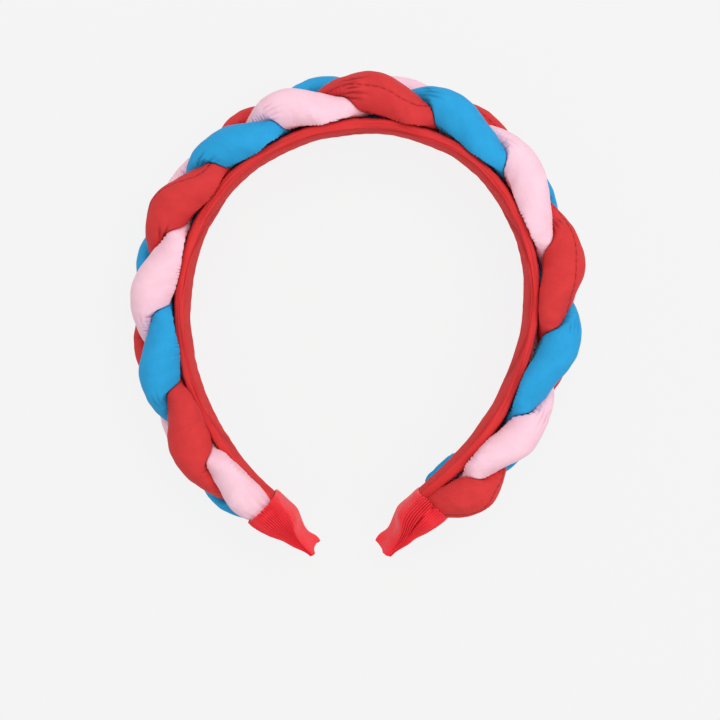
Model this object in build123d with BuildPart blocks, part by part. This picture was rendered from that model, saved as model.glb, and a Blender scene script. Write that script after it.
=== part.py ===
from build123d import *
from math import copysign, cos, hypot, pi, radians, sin, tanh
import os

# Braided headband lying on its side, in millimetres. Z runs across the band, from the
# floor up. The origin is on the floor, in the middle of the hollow for the head, and the
# crown lies towards +Y. Lengths along the band are measured from its left end.

# Sizes of the band
inner_width = 127.0          # clear width between the legs
crown_drop = 63.4            # from the middle of the hollow to the inner face of the crown
crown_shift = 0.35           # the crown's highest point sits this far to the right
crown_lean = 2.6             # degrees that the crown leans anticlockwise
band_thickness = 3.2
band_width = 29.0            # across the crown

# Sizes of the braid
braid_width = 37.4           # across all three strands, along Z
strand_radius = 7.9          # of a strand that nothing presses
strand_swing = 10.8          # how far a strand's line swings to each side
strand_seat = 8.0            # mean height of the strands' lines above the band
strand_lift = 3.2            # rise and fall of a strand where it crosses another
crossing_dip = 0.45          # how much lower it runs between its crossings and its lobes
strand_belly = 0.2           # share by which a strand is fuller towards the band
strand_squash = 0.31         # share of its height that a strand loses in the middle of the braid
strand_spread = 0.05         # share that it is wider there, since it runs aslant
strand_lag = 8.0             # degrees of turn by which a strand swings out late
lag_once = 10.0              # how much more it is late, once a turn
lag_twice = 7.0              # and twice a turn
lift_lead = 1.0              # degrees of turn by which it rises early
lobe_lean = 22.0             # degrees that a lobe's section leans at the edge of the braid
crossing_lean = 22.0         # and where strands cross
edge_sag = 12.0              # degrees at which a lobe hangs down past the band's edge
sag_start = 0.3              # shares of the band's half width between which that sets in
sag_full = 1.1
over_share = 0.04            # share of the room that the upper of two strands gains
over_reach = 3.8             # difference in height that gives it most of that
lobe_sharpness = 1.5         # how soon a lobe's rise and fullness fade beside it
mouth_reach = 14.0           # how far outside its mouth a wrap draws the strands in
mouth_flare = 9.0            # how much wider they may be at that distance
rest_flat = 0.8              # how far the lowest strands are pressed flat by the floor

# Sizes of the ribbon wraps on the two ends
wrap_length = 27.0
wrap_wall = 1.0
wrap_mouth_height = 15.3
wrap_mouth_width = 28.0
wrap_tip = 3.6               # solid fabric at the closed tip
left_twist = 12.0            # degrees that the left tip's upper edge leans outwards
right_twist = 24.0
grip_depth = 6.0             # how far the strands reach into a wrap
band_grip = 10.0             # how far the band reaches into a wrap

# Clearances and fineness
piece_gap = 0.3
facets_round_strand = 12
facets_along_lobe = 8        # sections between one lobe of the braid and the next
edge_softness = 8            # how tightly a pressed strand follows what presses it

# Arcs of the band's middle line, from the crown outwards. Radius is that of the inner face,
# as a share of inner_width, and is negative where an end turns outwards.
left_arcs = [
    # turn (degrees), radius
    (30.0, 0.546),
    (40.0, 0.493),
    (40.0, 0.608),
    (24.0, 0.843),
    (13.2, -0.970),
]
right_arcs = [
    # turn (degrees), radius
    (30.0, 0.513),
    (40.0, 0.420),
    (40.0, 0.555),
    (32.0, 0.795),
    (22.9, -0.688),
]

# Band sections: place as a share of the band's length, width as a share of band_width.
band_sections = [
    # place, width
    (0.000, 0.46),
    (0.063, 0.66),
    (0.200, 0.93),
    (0.500, 1.00),
    (0.800, 0.93),
    (0.937, 0.66),
    (1.000, 0.46),
]

# Lobes of the braid that face +Z, one row each, from left to right. Place is a share of the
# braid's length between the wraps. Rises are shares of strand_radius, for this lobe and for
# the one behind it, half a step further on. Fullness is what each adds to the strand's size.
lobes = [
    # place, rise, back rise, fullness, back fullness
    (0.010, -0.40, -0.10, -0.10, -0.05),
    (0.100, -0.15, -0.10, 0.00, -0.15),
    (0.170, -0.20, 0.10, 0.05, -0.05),
    (0.245, -0.15, 0.10, 0.05, -0.05),
    (0.315, 0.10, 0.10, 0.00, -0.05),
    (0.385, -0.20, 0.00, 0.00, 0.05),
    (0.445, 0.00, 0.20, -0.05, 0.05),
    (0.520, 0.10, 0.25, 0.00, -0.10),
    (0.590, 0.00, 0.05, -0.05, -0.05),
    (0.670, -0.15, -0.20, -0.05, -0.15),
    (0.750, 0.10, -0.25, 0.00, -0.10),
    (0.825, 0.05, -0.25, -0.10, -0.10),
    (0.910, 0.00, -0.25, -0.15, -0.05),
    (0.985, 0.00, 0.00, -0.05, 0.00),
]
left_end_turn = -0.12        # lobe number that the strands have reached at their left end
right_end_turn = 13.15       # and at their right end

# How the strands draw together near a wrap: distance outside its mouth as a share of
# strand_radius, and the share of their full size.
gathers = [
    # distance, size
    (-0.75, 0.62),
    (0.00, 0.76),
    (0.50, 0.88),
    (1.10, 0.97),
    (2.00, 1.00),
]

# Wrap sections, from the mouth to the tip: place as a share of wrap_length, height and
# middle height above the band's line as shares of wrap_mouth_height, width as a share of
# wrap_mouth_width, the corners' radius as a share of the section's height, and the share
# of the twist that is reached.
wrap_sections = [
    # place, height, width, middle, corner, twist
    (0.00, 1.00, 1.00, 0.317, 0.36, 0.00),
    (0.20, 0.99, 0.99, 0.300, 0.36, 0.00),
    (0.38, 0.88, 0.90, 0.250, 0.36, 0.15),
    (0.62, 0.48, 0.72, 0.163, 0.38, 0.60),
    (0.78, 0.31, 0.58, 0.110, 0.40, 0.85),
    (1.00, 0.21, 0.50, 0.000, 0.40, 1.00),
]


def blend(rows, column, at):
    """Value of a table's column between its rows, smooth and with no overshoot."""
    steps = [(b[column] - a[column]) / (b[0] - a[0]) for a, b in zip(rows, rows[1:])]
    slopes = [steps[0]]
    for before, after in zip(steps, steps[1:]):
        slopes.append(2 * before * after / (before + after) if before * after > 0 else 0.0)
    slopes.append(steps[-1])
    at = min(max(at, rows[0][0]), rows[-1][0])
    i = max(n for n in range(len(rows) - 1) if rows[n][0] <= at)
    span = rows[i + 1][0] - rows[i][0]
    t = (at - rows[i][0]) / span
    return (
        rows[i][column] * (1 + 2 * t) * (1 - t) ** 2
        + rows[i + 1][column] * t * t * (3 - 2 * t)
        + span * slopes[i] * t * (1 - t) ** 2
        + span * slopes[i + 1] * t * t * (t - 1)
    )


def arc_length(turn, radius):
    """Length of one arc of the middle line."""
    bend = copysign(1, radius)
    return radians(turn) * (abs(radius) * inner_width + bend * band_thickness / 2)


left_length = sum(arc_length(turn, radius) for turn, radius in left_arcs)
right_length = sum(arc_length(turn, radius) for turn, radius in right_arcs)
band_length = left_length + right_length
left_mouth = wrap_length
right_mouth = band_length - wrap_length
braid_length = right_mouth - left_mouth
middle_height = braid_width / 2 - rest_flat
band_corner = 0.45 * band_thickness


def band_plane(along):
    """Plane across the band: its x points away from the head and its y up along Z."""
    side, arcs, left = (1, right_arcs, along - left_length)
    if left < 0:
        side, arcs, left = (-1, left_arcs, -left)
    x, y = crown_shift, crown_drop + band_thickness / 2
    heading = radians(crown_lean)
    for turn, radius in arcs:
        bend = copysign(1, radius)
        reach = abs(radius) * inner_width + bend * band_thickness / 2
        step = min(left, radians(turn) * reach)
        turned = heading - side * bend * step / reach
        x += bend * reach * (sin(heading) - sin(turned))
        y -= bend * reach * (cos(heading) - cos(turned))
        heading = turned
        left -= step
        if left <= 0:
            break
    return Plane(
        origin=(x, y, middle_height),
        x_dir=(-sin(heading), cos(heading), 0),
        z_dir=(cos(heading), sin(heading), 0),
    )


turn_rows = (
    [(left_mouth - grip_depth, left_end_turn)]
    + [(left_mouth + row[0] * braid_length, number) for number, row in enumerate(lobes)]
    + [(right_mouth + grip_depth, right_end_turn)]
)
strand_start = left_mouth - grip_depth
strand_end = right_mouth + grip_depth
strand_spokes = round(facets_round_strand)
strand_places = round(facets_along_lobe) * len(lobes)
half_place = (strand_end - strand_start) / strand_places / 2


def lobe_value(strand, turns, column):
    """Value of the lobe that a strand is on: the row's front column or, behind, its back one."""
    front = round((turns - strand) / 3) * 3 + strand
    back = round((turns - strand - 1.5) / 3) * 3 + strand + 1
    if cos(2 * pi * (turns - strand) / 3) > 0:
        return lobes[min(max(front, 0), len(lobes) - 1)][column]
    return lobes[min(max(back, 0), len(lobes) - 1)][column + 1]


def strand_middle(strand, along):
    """Height above the band's line, place along Z, angle of turn and size of a strand."""
    turns = blend(turn_rows, 1, along)
    angle = 2 * pi * (turns - strand) / 3
    outside = min(along - left_mouth, right_mouth - along)
    size = blend(gathers, 1, outside / strand_radius)
    rise = strand_radius * lobe_value(strand, turns, 1) * abs(cos(angle)) ** lobe_sharpness
    lift = strand_lift * sin(2 * angle + radians(lift_lead)) - crossing_dip * cos(4 * angle)
    height = band_thickness / 2 + size * (strand_seat - lift + rise)
    uneven = radians(lag_once) * sin(angle) + radians(lag_twice) * sin(2 * angle)
    across = size * strand_swing * cos(angle - radians(strand_lag) - uneven)
    return height, across, angle, size


def band_press(along, height, across):
    """The band under a strand; a lobe may hang down past its edge."""
    half_band = band_width / 2 * blend(band_sections, 1, along / band_length)
    past_edge = (abs(across) / half_band - sag_start) / (sag_full - sag_start)
    sag = radians(edge_sag) * min(max(past_edge, 0), 1)
    down = height - band_thickness / 2 - piece_gap
    room = cos(sag) * down - sin(sag) * (half_band - band_corner / 2 - abs(across))
    return [(-cos(sag), -copysign(sin(sag), across), max(room, piece_gap))]


def strand_press(strand, other, along, height, across):
    """Another strand beside this one, here and half a section before and after."""
    limits = []
    for near in (along - half_place, along, along + half_place):
        own_height, own_across = strand_middle(strand, near)[:2]
        other_height, other_across = strand_middle(other, near)[:2]
        apart = hypot(other_height - own_height, other_across - own_across)
        out = (other_height - own_height) / apart
        up = (other_across - own_across) / apart
        share = 0.5 + over_share * tanh((own_height - other_height) / over_reach)
        moved = out * (own_height - height) + up * (own_across - across)
        limits.append((out, up, max(apart * share - piece_gap / 2 + moved, piece_gap)))
    return limits


def wrap_press(along, height, across):
    """The wrap round the strands' ends, which also draws them in just outside its mouth."""
    depth = max(left_mouth - along, along - right_mouth) + 2 * half_place
    if depth < -mouth_reach:
        return []
    slack = mouth_flare * (max(-depth, 0) / mouth_reach) ** 0.8
    hollow_height, hollow_width, middle, corner = wrap_outline(depth / wrap_length, wrap_wall)
    limits = []
    for degrees in (-90, -45, 0, 45, 90):
        out, up = cos(radians(degrees)), sin(radians(degrees))
        outwards = middle + hollow_height / 2 - corner - height
        upwards = abs(up) * (hollow_width / 2 - corner) - up * across
        limits.append((out, up, out * outwards + upwards + corner + slack - piece_gap))
    return limits


def strand_outline(strand, along):
    """Points of a strand's section, pressed by its neighbours, the band, a wrap and the floor."""
    height, across, angle, size = strand_middle(strand, along)
    turns = blend(turn_rows, 1, along)
    size *= 1 + lobe_value(strand, turns, 3) * abs(cos(angle)) ** lobe_sharpness
    half_across = size * strand_radius * (1 + strand_spread * sin(angle) ** 2)
    half_height = size * strand_radius * (1 - strand_squash * sin(angle) ** 2)
    lean = radians(lobe_lean) * cos(angle) + radians(crossing_lean) * sin(2 * angle)
    presses = [band_press(along, height, across), wrap_press(along, height, across)]
    for other in range(3):
        if other != strand:
            presses.append(strand_press(strand, other, along, height, across))
    points = []
    for number in range(strand_spokes):
        spoke = 2 * pi * number / strand_spokes
        out, up = cos(spoke), sin(spoke)
        turned = spoke - lean
        deep = half_height * (1 + strand_belly * (1 - cos(turned)) / 2)
        tightness = hypot(cos(turned) / deep, sin(turned) / half_across) ** edge_softness
        for limits in presses:
            facing = [(out * limit[0] + up * limit[1]) / limit[2] for limit in limits]
            tightness += max(facing + [0]) ** edge_softness
        reach = tightness ** (-1 / edge_softness)
        if up < 0:
            reach = min(reach, (across + middle_height) / -up)
        points.append((height + reach * out, across + reach * up))
    return points


def wrap_outline(place, less):
    """Height, width, middle and corner radius of a wrap's section, smaller all round by less."""
    height = wrap_mouth_height * blend(wrap_sections, 1, place)
    width = wrap_mouth_width * blend(wrap_sections, 2, place)
    middle = wrap_mouth_height * blend(wrap_sections, 3, place)
    corner = height * blend(wrap_sections, 4, place)
    return height - 2 * less, width - 2 * less, middle, corner - less


os.makedirs("parts", exist_ok=True)

# Inner band
band_start = left_mouth - band_grip
band_end = right_mouth + band_grip
band_places = 48
with BuildPart() as inner_band:
    for number in range(band_places + 1):
        along = band_start + (band_end - band_start) * number / band_places
        width = band_width * blend(band_sections, 1, along / band_length)
        with BuildSketch(band_plane(along)):
            RectangleRounded(band_thickness, width, band_corner)
    loft()
inner_band.part.label = "inner_band"
export_step(inner_band.part, "parts/inner_band.step")

# Three strands, each closed with flat triangles
for strand, colour in enumerate(("pink", "red", "blue")):
    rings = []
    for number in range(strand_places + 1):
        along = strand_start + (strand_end - strand_start) * number / strand_places
        plane = band_plane(along)
        rings.append([plane.from_local_coords(Vector(*point)) for point in strand_outline(strand, along)])
    corners = [rings[0][::-1], rings[-1]]
    for ring, after in zip(rings, rings[1:]):
        for k in range(strand_spokes):
            a, b, c, d = ring[k - 1], ring[k], after[k], after[k - 1]
            bulge = (b - a).cross(c - a).dot(d - a)
            corners += [(a, b, c), (a, c, d)] if bulge < 0 else [(a, b, d), (b, c, d)]
    faces = [Face(Wire.make_polygon(corner, close=True)) for corner in corners]
    with BuildPart() as braid_strand:
        add(Solid(Shell(faces)))
    braid_strand.part.label = f"strand_{colour}"
    export_step(braid_strand.part, f"parts/strand_{colour}.step")

# Ribbon wraps, hollow from the mouth almost to the tip
cavity_end = 1 - wrap_tip / wrap_length
outer_places = [row[0] for row in wrap_sections]
cavity_places = [place for place in outer_places if place < cavity_end] + [cavity_end]
for side, mouth, way, tip_twist in (
    ("left", left_mouth, -1, left_twist),
    ("right", right_mouth, 1, right_twist),
):
    with BuildPart() as end_wrap:
        for places, less, mode in (
            (outer_places, 0, Mode.ADD),
            (cavity_places, wrap_wall, Mode.SUBTRACT),
        ):
            for place in places:
                height, width, middle, corner = wrap_outline(place, less)
                twist = tip_twist * blend(wrap_sections, 5, place)
                with BuildSketch(band_plane(mouth + way * place * wrap_length)):
                    with Locations((middle, 0)):
                        RectangleRounded(height, width, corner, rotation=-twist)
            loft(mode=mode)
    end_wrap.part.label = f"end_wrap_{side}"
    export_step(end_wrap.part, f"parts/end_wrap_{side}.step")
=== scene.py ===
import math

import bpy
import numpy as np
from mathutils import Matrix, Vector


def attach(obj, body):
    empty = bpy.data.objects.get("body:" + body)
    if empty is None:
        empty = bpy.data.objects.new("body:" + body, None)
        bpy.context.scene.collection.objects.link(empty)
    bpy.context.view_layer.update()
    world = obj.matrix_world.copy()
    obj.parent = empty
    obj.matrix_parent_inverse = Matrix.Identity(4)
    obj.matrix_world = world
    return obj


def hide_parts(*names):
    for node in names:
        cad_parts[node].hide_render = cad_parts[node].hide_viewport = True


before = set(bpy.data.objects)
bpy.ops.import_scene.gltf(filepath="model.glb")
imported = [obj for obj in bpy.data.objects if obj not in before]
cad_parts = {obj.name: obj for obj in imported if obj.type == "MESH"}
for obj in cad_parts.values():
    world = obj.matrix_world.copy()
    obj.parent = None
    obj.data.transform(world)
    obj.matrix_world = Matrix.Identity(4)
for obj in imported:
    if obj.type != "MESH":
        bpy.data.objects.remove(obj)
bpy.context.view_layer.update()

# The band lies on its side. Everything below is worked out in millimetres in the band's own
# terms: along the band from its left end, out from its middle line, and across it (up).
# A place is a share of a length, from 0 to 1.
millimetre = 0.001
mapScale = 0.01  # one unit of a piece's own map is 100 mm

bandShape = {
    "innerWidth": 127.0,
    "crownDrop": 63.4,  # from the origin to the crown's inner face
    "crownShift": 0.35,
    "crownLean": 2.6,  # degrees
    "thickness": 3.2,
    "width": 29.0,
    # from the crown down: degrees turned, and radius as a share of the inner width
    "leftArcs": [(30.0, 0.546), (40.0, 0.493), (40.0, 0.608), (24.0, 0.843), (13.2, -0.970)],
    "rightArcs": [(30.0, 0.513), (40.0, 0.420), (40.0, 0.555), (32.0, 0.795), (22.9, -0.688)],
    # place, share of the width
    "widthRows": [
        (0.0, 0.42), (0.063, 0.52), (0.2, 0.9), (0.5, 1.0), (0.8, 0.9), (0.937, 0.52), (1.0, 0.42),
    ],
    # place, how far the padded cover stands out from the strip's outer face
    "coverRows": [
        (0.0, 0.4), (0.12, 1.0), (0.27, 1.6), (0.42, 1.7), (0.56, 1.7),
        (0.68, 1.3), (0.78, 1.4), (0.88, 2.0), (1.0, 1.6),
    ],
    "grip": 10.0,  # how far the band reaches into each wrap
    "faceRound": 0.45,  # roundness of the section's faces and edges: less is squarer
    "edgeRound": 0.55,
    "crowding": 0.35,  # how much closer the points stand round the edges
    "kink": 0.38,  # depth of the kinks in the strip's faces, their distance and its spread
    "kinkStep": 15.0,
    "kinkSpread": 5.0,
    "margin": 20.0,  # how far the kinks run on past the ends
    "seed": 70,
    # depth of the unevenness, its wavelengths, number of waves, most waves round the strip
    "waves": [(0.08, (12, 40), 7, 2), (0.03, (4, 9), 7, 3)],
    # angle round the strip, depth, width in degrees: long creases in the satin
    "creases": [
        (62, 0.22, 6), (84, 0.34, 5), (103, 0.32, 6), (128, 0.22, 8), (-70, 0.22, 6), (-96, 0.28, 5),
    ],
    "wander": (5.0, (40, 90), 4, 0),  # of a crease to each side, in degrees, and its waves
    "fade": ((30, 80), 4, 0),  # the waves in which a crease comes and goes
    "creaseEnds": (6, 36),  # distance from a wrap at which a crease starts, and is full
    # share of the band's length, reach along it, first and last angle, depth, width in degrees:
    # folds that cross the satin slantwise
    "slants": [
        (0.155, 36.0, 185, 95, 0.40, 9),
        (0.305, 42.0, 95, 185, 0.40, 9),
        (0.530, 50.0, 190, 100, 0.35, 9),
        (0.690, 46.0, 205, 90, 0.50, 9),
        (0.775, 36.0, 100, 190, 0.40, 9),
    ],
    "slantLip": (0.6, 1.8),  # raised lip on one side: share of the depth, distance in widths
    "darkest": 0.5,  # depth at which the shade painted in a crease is darkest
    "mapRadius": 10.0,  # of the satin's map
    "places": 1100,  # rings of points along the band, and points in a ring
    "round": 80,
}

braidShape = {
    "width": 37.4,  # of the whole braid, across the band
    "radius": 7.9,  # of a strand that nothing presses
    "swing": 10.8,  # of a strand's middle to each side
    "seat": 8.0,  # of the strands' middles above the band's outer face
    "lift": 3.2,  # how far they weave in and out, and how much they dip between
    "dip": 0.45,
    "liftLead": 1.0,  # degrees
    "squash": 0.31,  # how much flatter and wider a strand is where it crosses the band
    "spread": 0.05,
    "belly": 0.2,  # how much fuller it is towards the band
    "lag": 8.0,  # degrees by which its swing comes late: always, once and twice a round
    "lagOnce": 10.0,
    "lagTwice": 7.0,
    "lobeLean": 22.0,  # degrees by which its section leans
    "crossingLean": 22.0,
    "overShare": 0.04,  # how much more room the outer one of two strands takes
    "overReach": 3.8,
    "sharpness": 1.5,  # how soon a lobe's own rise and fullness fade beside it
    "restFlat": 0.8,  # how far the floor presses the braid flat
    "gap": 0.12,  # between pieces
    "softness": 8.5,  # of the border between free and pressed cloth: more is sharper
    "leastRoom": 0.3,  # above the band
    "edgeBlur": 0.8,  # over which the band's edge stops pressing
    "grip": 6.0,  # how far the strands reach into each wrap
    # place, front rise, back rise, front fullness, back fullness, for each lobe that faces up
    "lobes": [
        (0.010, -0.40, -0.10, -0.10, -0.05),
        (0.100, -0.15, -0.10, 0.00, -0.15),
        (0.170, -0.20, 0.10, 0.05, -0.05),
        (0.245, -0.15, 0.10, 0.05, -0.05),
        (0.315, 0.10, 0.10, 0.00, -0.05),
        (0.385, -0.20, 0.00, 0.00, 0.05),
        (0.445, 0.00, 0.20, -0.05, 0.05),
        (0.520, 0.10, 0.25, 0.00, -0.10),
        (0.590, 0.00, 0.05, -0.05, -0.05),
        (0.670, -0.15, -0.20, -0.05, -0.15),
        (0.750, 0.10, -0.25, 0.00, -0.10),
        (0.825, 0.05, -0.25, -0.10, -0.10),
        (0.910, 0.00, -0.25, -0.15, -0.05),
        (0.985, 0.00, 0.00, -0.05, 0.00),
    ],
    # count of lobes at the strands' two hidden ends
    "leftTurn": -0.12,
    "rightTurn": 13.15,
    # place, how far a lobe hangs below the strip's outer face
    "hangs": [
        (0.0, 3.2), (0.1, 1.4), (0.25, 1.1), (0.33, 2.0), (0.42, 2.1),
        (0.5, 0.9), (0.6, 1.4), (0.7, 0.6), (0.8, 0.3), (1.0, 0.3),
    ],
    # the back lobe of the blue strand sags past the band's far edge, close to the right wrap
    "sagging": 2,
    "sagEdge": (0.3, 3.5),  # distance past the edge at which the sag starts, and is full
    "sagFade": (-6.0, -2.0),  # the same from inside the wrap
    "sagSide": (-0.5, 0.3),  # the same round the strand, from its outer side to the band's
    # distance from the right mouth, depth
    "sags": [
        (-2, 3.0), (0, 6.4), (2, 6.4), (4, 5.2), (6, 4.3), (8, 3.6), (12, 3.5), (17, 3.0), (22, 0),
    ],
    # distance outside a wrap's mouth in radii, share of full size
    "gathers": [(-0.75, 0.62), (0.0, 0.76), (0.5, 0.88), (1.1, 0.97), (2.0, 1.0)],
    "places": 2000,  # rings of points along a strand, and points in a ring
    "round": 90,
}

wrapShape = {
    "length": 27.0,
    "wall": 1.0,
    "height": 15.3,
    "width": 28.0,
    "girth": 80.0,  # round the mouth
    # place, height, width, middle, corner, twist: shares of the mouth's height, width and twist
    "rows": [
        (0.00, 1.00, 1.00, 0.317, 0.36, 0.00),
        (0.20, 0.99, 0.99, 0.300, 0.36, 0.00),
        (0.38, 0.88, 0.90, 0.250, 0.36, 0.15),
        (0.62, 0.48, 0.72, 0.163, 0.38, 0.60),
        (0.78, 0.31, 0.58, 0.110, 0.40, 0.85),
        (1.00, 0.20, 0.50, 0.000, 0.40, 1.00),
    ],
    "cornerRound": 0.62,  # roundness of the section: less is squarer
    "flare": (1.1, 0.8),  # extra room that the mouth leaves to the strands outside, and its power
    "flareReach": 14.0,
    "leftTwist": 14.0,  # degrees at the tip
    "rightTwist": 24.0,
    "tipFrom": 0.45,  # place from which the flat faces sink in and the ribs get lower
    "tipSink": 0.4,
    "tipRibs": 0.5,
    "leftNotch": 1.7,
    "rightNotch": 0.8,
    "notchFrom": 0.8,
    "tipLean": 1.1,  # how far the front prong reaches past the tip's middle
    "leanFrom": 0.7,
    "ribs": 84,
    "ribHeight": 0.85,
    "ribSoftness": 0.85,
    "ribStart": (-0.01, 0.03),  # places over which the ribs start at the mouth
    "plainStep": 0.14,  # radians over which they end at the smooth face
    "plainShare": 0.9,  # how much of their height they lose there
    # unevenness: depth, seed, wavelengths, number of waves, most waves round
    "ribDrift": (0.22, 41, (7, 23), 8, 1),  # of the ribs' spacing, in ribs
    "bulge": (0.25, 43, (9, 26), 8, 3),  # of the ribbon's height
    "driftLean": 2.2,  # how much the drift changes towards the tip, in radians
    "scallop": 0.9,
    "scallops": 50,
    "scallopShape": (0.7, 0.6),  # power of the arcs, and their middle
    "scallopDrift": 2.5,  # how much more unevenly they stand than the ribs
    "scallopReach": (0.14, 0.12),  # place up to which the scallops reach, outside and inside
    "mouthRise": (-0.05, 0.1),  # places over which all relief starts at the mouth
    "crest": (0.5, 0.06, 0.12),  # the left wrap's fold: height, radians past the ribs, width
    "crestRise": (0.02, 0.2),  # places over which it starts
    "leftShort": 0.9,  # how far the left mouth sits back from the modelled one
    "innerLip": 0.4,  # how far its inner side stands forward
    "innerThin": 0.6,  # how much closer the right wrap's inner side lies, and how much
    "innerShort": 0.6,  # further back its mouth sits there
    "thinReach": 0.5,  # places up to which it lies closer, and up to which the lips reach
    "lipReach": 0.25,
    "leftInner": (2.2, 2.9),  # radians from the outer side over which the inner side starts
    "rightInner": (1.8, 2.5),
    # place, degrees from the outer side at which the ribs end: the inner face is smooth
    "leftRibEdge": [(0.0, 143), (0.3, 131), (0.6, 111), (1.0, 97)],
    "rightRibEdge": [(0.0, 130), (0.4, 120), (1.0, 106)],
    # place, share of the way round at which the right wrap's lap ends
    "lapEdge": [(0.0, 0.258), (0.5, 0.262), (0.8, 0.275), (1.0, 0.290)],
    "lapHeight": 1.3,
    "lapStep": (-0.002, 0.006),  # past the edge: shares over which the lap rises, and goes down
    "lapSlope": (0.03, 0.35),
    "lapRibs": (0.65, 0.5),  # the ribs' height beside the lap, and how much more on it
    "lapNick": (1.1, 0.08),  # where the groove cuts back the mouth: depth, place it reaches
    "lapHem": (0.6, 0.010, 0.006),  # height, distance behind the edge and width
    "lapGroove": (0.9, 0.005, 0.005),  # depth, distance before the edge and width
    "places": 110,  # rings of points outside and inside, and points for each rib
    "insidePlaces": 16,
    "hollowTo": 0.6,  # place up to which a wrap is hollow
    "samplesPerRib": 6,
}


def blend(rows, column, at):
    # a table's column between its rows, smooth and with no overshoot
    places = np.array([row[0] for row in rows], float)
    values = np.array([row[column] for row in rows], float)
    steps = np.diff(values) / np.diff(places)
    slopes = np.zeros(len(places))
    for i in range(1, len(places) - 1):
        if steps[i - 1] * steps[i] > 0:
            slopes[i] = 2 * steps[i - 1] * steps[i] / (steps[i - 1] + steps[i])
    slopes[0], slopes[-1] = steps[0], steps[-1]
    at = np.clip(at, places[0], places[-1])
    i = np.clip(np.searchsorted(places, at, side="right") - 1, 0, len(places) - 2)
    span = places[i + 1] - places[i]
    t = (at - places[i]) / span
    return (
        values[i] * (1 + 2 * t) * (1 - t) ** 2
        + values[i + 1] * t * t * (3 - 2 * t)
        + span * slopes[i] * t * (1 - t) ** 2
        + span * slopes[i + 1] * t * t * (t - 1)
    )


def smoothStep(low, high, value):
    t = np.clip((value - low) / (high - low), 0, 1)
    return t * t * (3 - 2 * t)


def fadeOut(reach, value):
    # from 1 at zero to 0 at the reach
    return 1 - smoothStep(0, reach, value)


def bell(value):
    return np.exp(-(value**2))


def rounded(value, power):
    # a sine or cosine made squarer, with its sign kept
    return np.sign(value) * np.abs(value) ** power


def nearest(angle, fullTurn=2 * np.pi):
    # the same angle within half a turn of zero
    return np.mod(angle + fullTurn / 2, fullTurn) - fullTurn / 2


def wavyField(seed, along, around, wavelengths, count, turns):
    # smooth unevenness over a tube: along is in millimetres, around an angle
    draw = np.random.RandomState(seed)
    total = np.zeros(np.broadcast(along, around).shape)
    for _ in range(count):
        wavelength = draw.uniform(*wavelengths)
        winds = draw.randint(-turns, turns + 1)
        total = total + np.cos(2 * np.pi * along / wavelength + winds * around + draw.uniform(0, 2 * np.pi))
    return total / math.sqrt(count / 2)


def walkBand(step=0.25):
    # along, x, y and heading, all the way round
    halves = []
    for side, arcs in ((-1, bandShape["leftArcs"]), (1, bandShape["rightArcs"])):
        x, y = bandShape["crownShift"], bandShape["crownDrop"] + bandShape["thickness"] / 2
        heading, done = math.radians(bandShape["crownLean"]), 0.0
        rows = [(0.0, x, y, heading)]
        for turn, share in arcs:
            bend = math.copysign(1, share)
            reach = abs(share) * bandShape["innerWidth"] + bend * bandShape["thickness"] / 2
            length = math.radians(turn) * reach
            count = max(2, int(length / step))
            for n in range(1, count + 1):
                turned = heading - side * bend * length * n / count / reach
                rows.append((
                    done + length * n / count,
                    x + bend * reach * (math.sin(heading) - math.sin(turned)),
                    y - bend * reach * (math.cos(heading) - math.cos(turned)),
                    turned,
                ))
            heading, done = turned, done + length
            x, y = rows[-1][1:3]
        halves.append(np.array(rows))
    left, right = halves
    left = left[:0:-1].copy()
    leftLength = left[0, 0]
    left[:, 0] = leftLength - left[:, 0]
    right[:, 0] += leftLength
    return np.concatenate([left, right])


bandWalk = walkBand()
bandLength = bandWalk[-1, 0]
leftMouth = wrapShape["length"]
rightMouth = bandLength - wrapShape["length"]
braidLength = rightMouth - leftMouth
middleHeight = braidShape["width"] / 2 - braidShape["restFlat"]
turnRows = (
    [(leftMouth - braidShape["grip"], braidShape["leftTurn"])]
    + [(leftMouth + row[0] * braidLength, n) for n, row in enumerate(braidShape["lobes"])]
    + [(rightMouth + braidShape["grip"], braidShape["rightTurn"])]
)


def fromBand(along, out, across):
    # points in the frame's own terms, in metres
    x, y, heading = (np.interp(along, bandWalk[:, 0], bandWalk[:, n]) for n in (1, 2, 3))
    return np.stack(np.broadcast_arrays(
        (x - np.sin(heading) * out) * millimetre,
        (y + np.cos(heading) * out) * millimetre,
        (across + middleHeight) * millimetre,
    ), axis=-1)


def halfBandWidth(along):
    return bandShape["width"] / 2 * blend(bandShape["widthRows"], 1, along / bandLength)


def coverDepth(along):
    return blend(bandShape["coverRows"], 1, along / bandLength)


def fromMouths(along):
    # distance to the nearer wrap, less than zero inside it
    return np.minimum(along - leftMouth, rightMouth - along)


def ringsAlong(shape):
    # places along the band from grip to grip, and angles round a ring
    start, end = leftMouth - shape["grip"], rightMouth + shape["grip"]
    along = np.linspace(start, end, shape["places"])[:, None]
    return along, np.linspace(0, 2 * np.pi, shape["round"], endpoint=False)[None, :]


def clothMap(lengthwise, around):
    return np.stack(np.broadcast_arrays(lengthwise, around), axis=-1) * mapScale


def roundMap(lengthwise, spoke, radius):
    # the map of a tube, with its last column closed
    return clothMap(lengthwise, np.concatenate([spoke, [[2 * np.pi]]], axis=1) * radius)


def placeObject(name, data):
    thing = bpy.data.objects.new(name, data)
    bpy.context.scene.collection.objects.link(thing)
    return thing


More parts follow.
